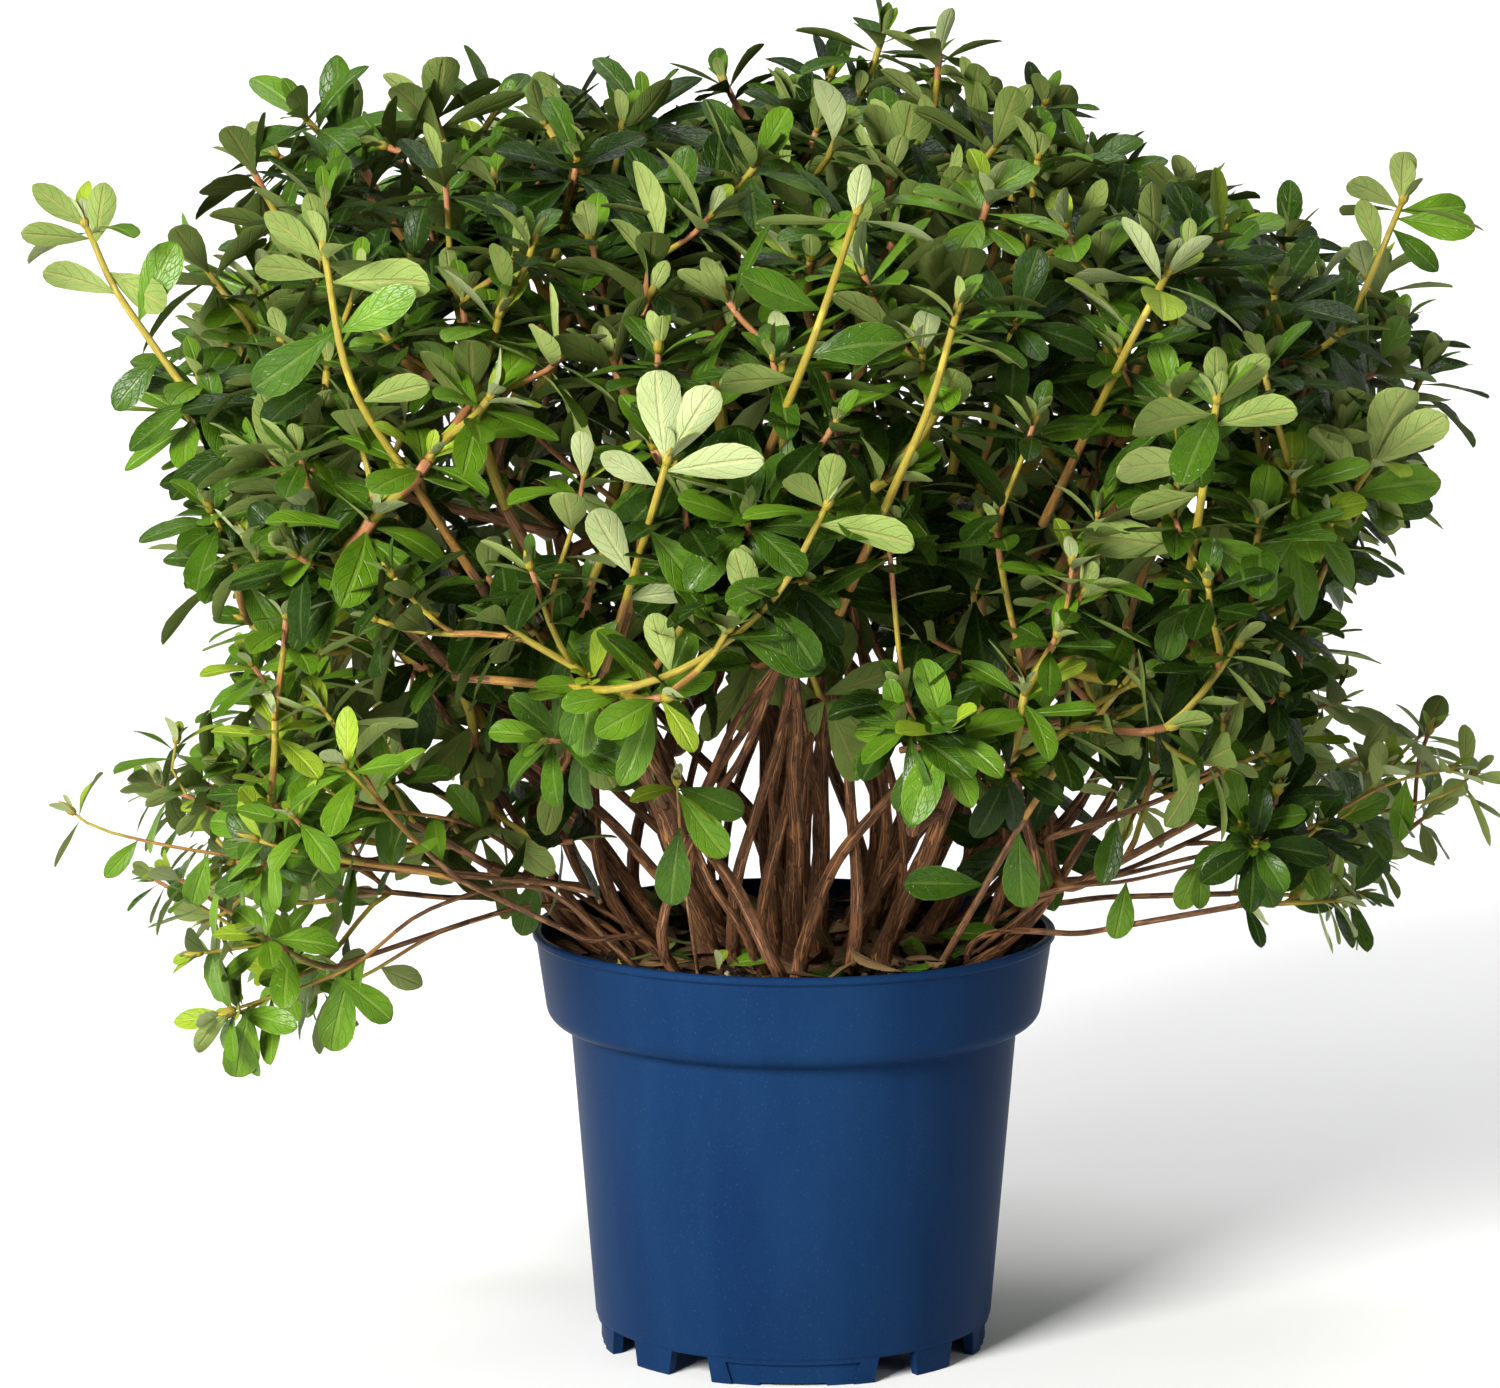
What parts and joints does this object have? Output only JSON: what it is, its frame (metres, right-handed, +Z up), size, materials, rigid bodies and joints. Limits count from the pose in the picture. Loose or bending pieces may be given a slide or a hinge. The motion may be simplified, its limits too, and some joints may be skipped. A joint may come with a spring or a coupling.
{
  "type": "potted azalea shrub",
  "caption": "Evergreen azalea shrub with many slender woody stems and a broad, rounded crown of small glossy leaves, growing in a round plastic nursery pot.",
  "frame": {"origin": "centre of the pot's base on the plane that it stands on", "axes": "+Z up along the pot's axis, +X to the right and +Y to the back when the shrub is seen from its front"},
  "size_m": [0.6433, 0.561, 0.6023],
  "materials": {
    "pot_plastic": "satin moulded",
    "potting_soil": "crumbly, moist",
    "bark": "fibrous, furrowed",
    "leaves": "leathery, semi-gloss above and matt below"
  },
  "bodies": {
    "root": {"bough_lower_1": "bark", "bough_lower_2": "bark", "bough_lower_3": "bark", "bough_lower_4": "bark", "bough_lower_5": "bark", "bough_lower_6": "bark", "bough_lower_7": "bark", "bough_lower_8": "bark", "foliage_droop_1": "leaves", "foliage_lower_1": "leaves", "foliage_lower_2": "leaves", "foliage_lower_3": "leaves", "foliage_lower_4": "leaves", "foliage_lower_5": "leaves", "foliage_lower_6": "leaves", "foliage_lower_7": "leaves", "foliage_lower_8": "leaves", "foliage_middle_1": "leaves", "foliage_middle_2": "leaves", "foliage_middle_3": "leaves", "foliage_middle_4": "leaves", "foliage_middle_5": "leaves", "foliage_middle_6": "leaves", "foliage_middle_7": "leaves", "foliage_middle_8": "leaves", "foliage_skirt_1": "leaves", "foliage_skirt_2": "leaves", "foliage_skirt_3": "leaves", "foliage_skirt_4": "leaves", "foliage_skirt_5": "leaves", "foliage_skirt_6": "leaves", "foliage_top_1": "leaves", "foliage_upper_1": "leaves", "foliage_upper_2": "leaves", "foliage_upper_3": "leaves", "foliage_upper_4": "leaves", "pot": "pot_plastic", "soil": "potting_soil", "stem_droop_1": "bark", "stem_middle_1": "bark", "stem_middle_2": "bark", "stem_middle_3": "bark", "stem_middle_4": "bark", "stem_middle_5": "bark", "stem_middle_6": "bark", "stem_middle_7": "bark", "stem_middle_8": "bark", "stem_skirt_1": "bark", "stem_skirt_2": "bark", "stem_skirt_3": "bark", "stem_skirt_4": "bark", "stem_skirt_5": "bark", "stem_skirt_6": "bark", "stem_top_1": "bark", "stem_upper_1": "bark", "stem_upper_2": "bark", "stem_upper_3": "bark", "stem_upper_4": "bark"}
  },
  "joints": []
}
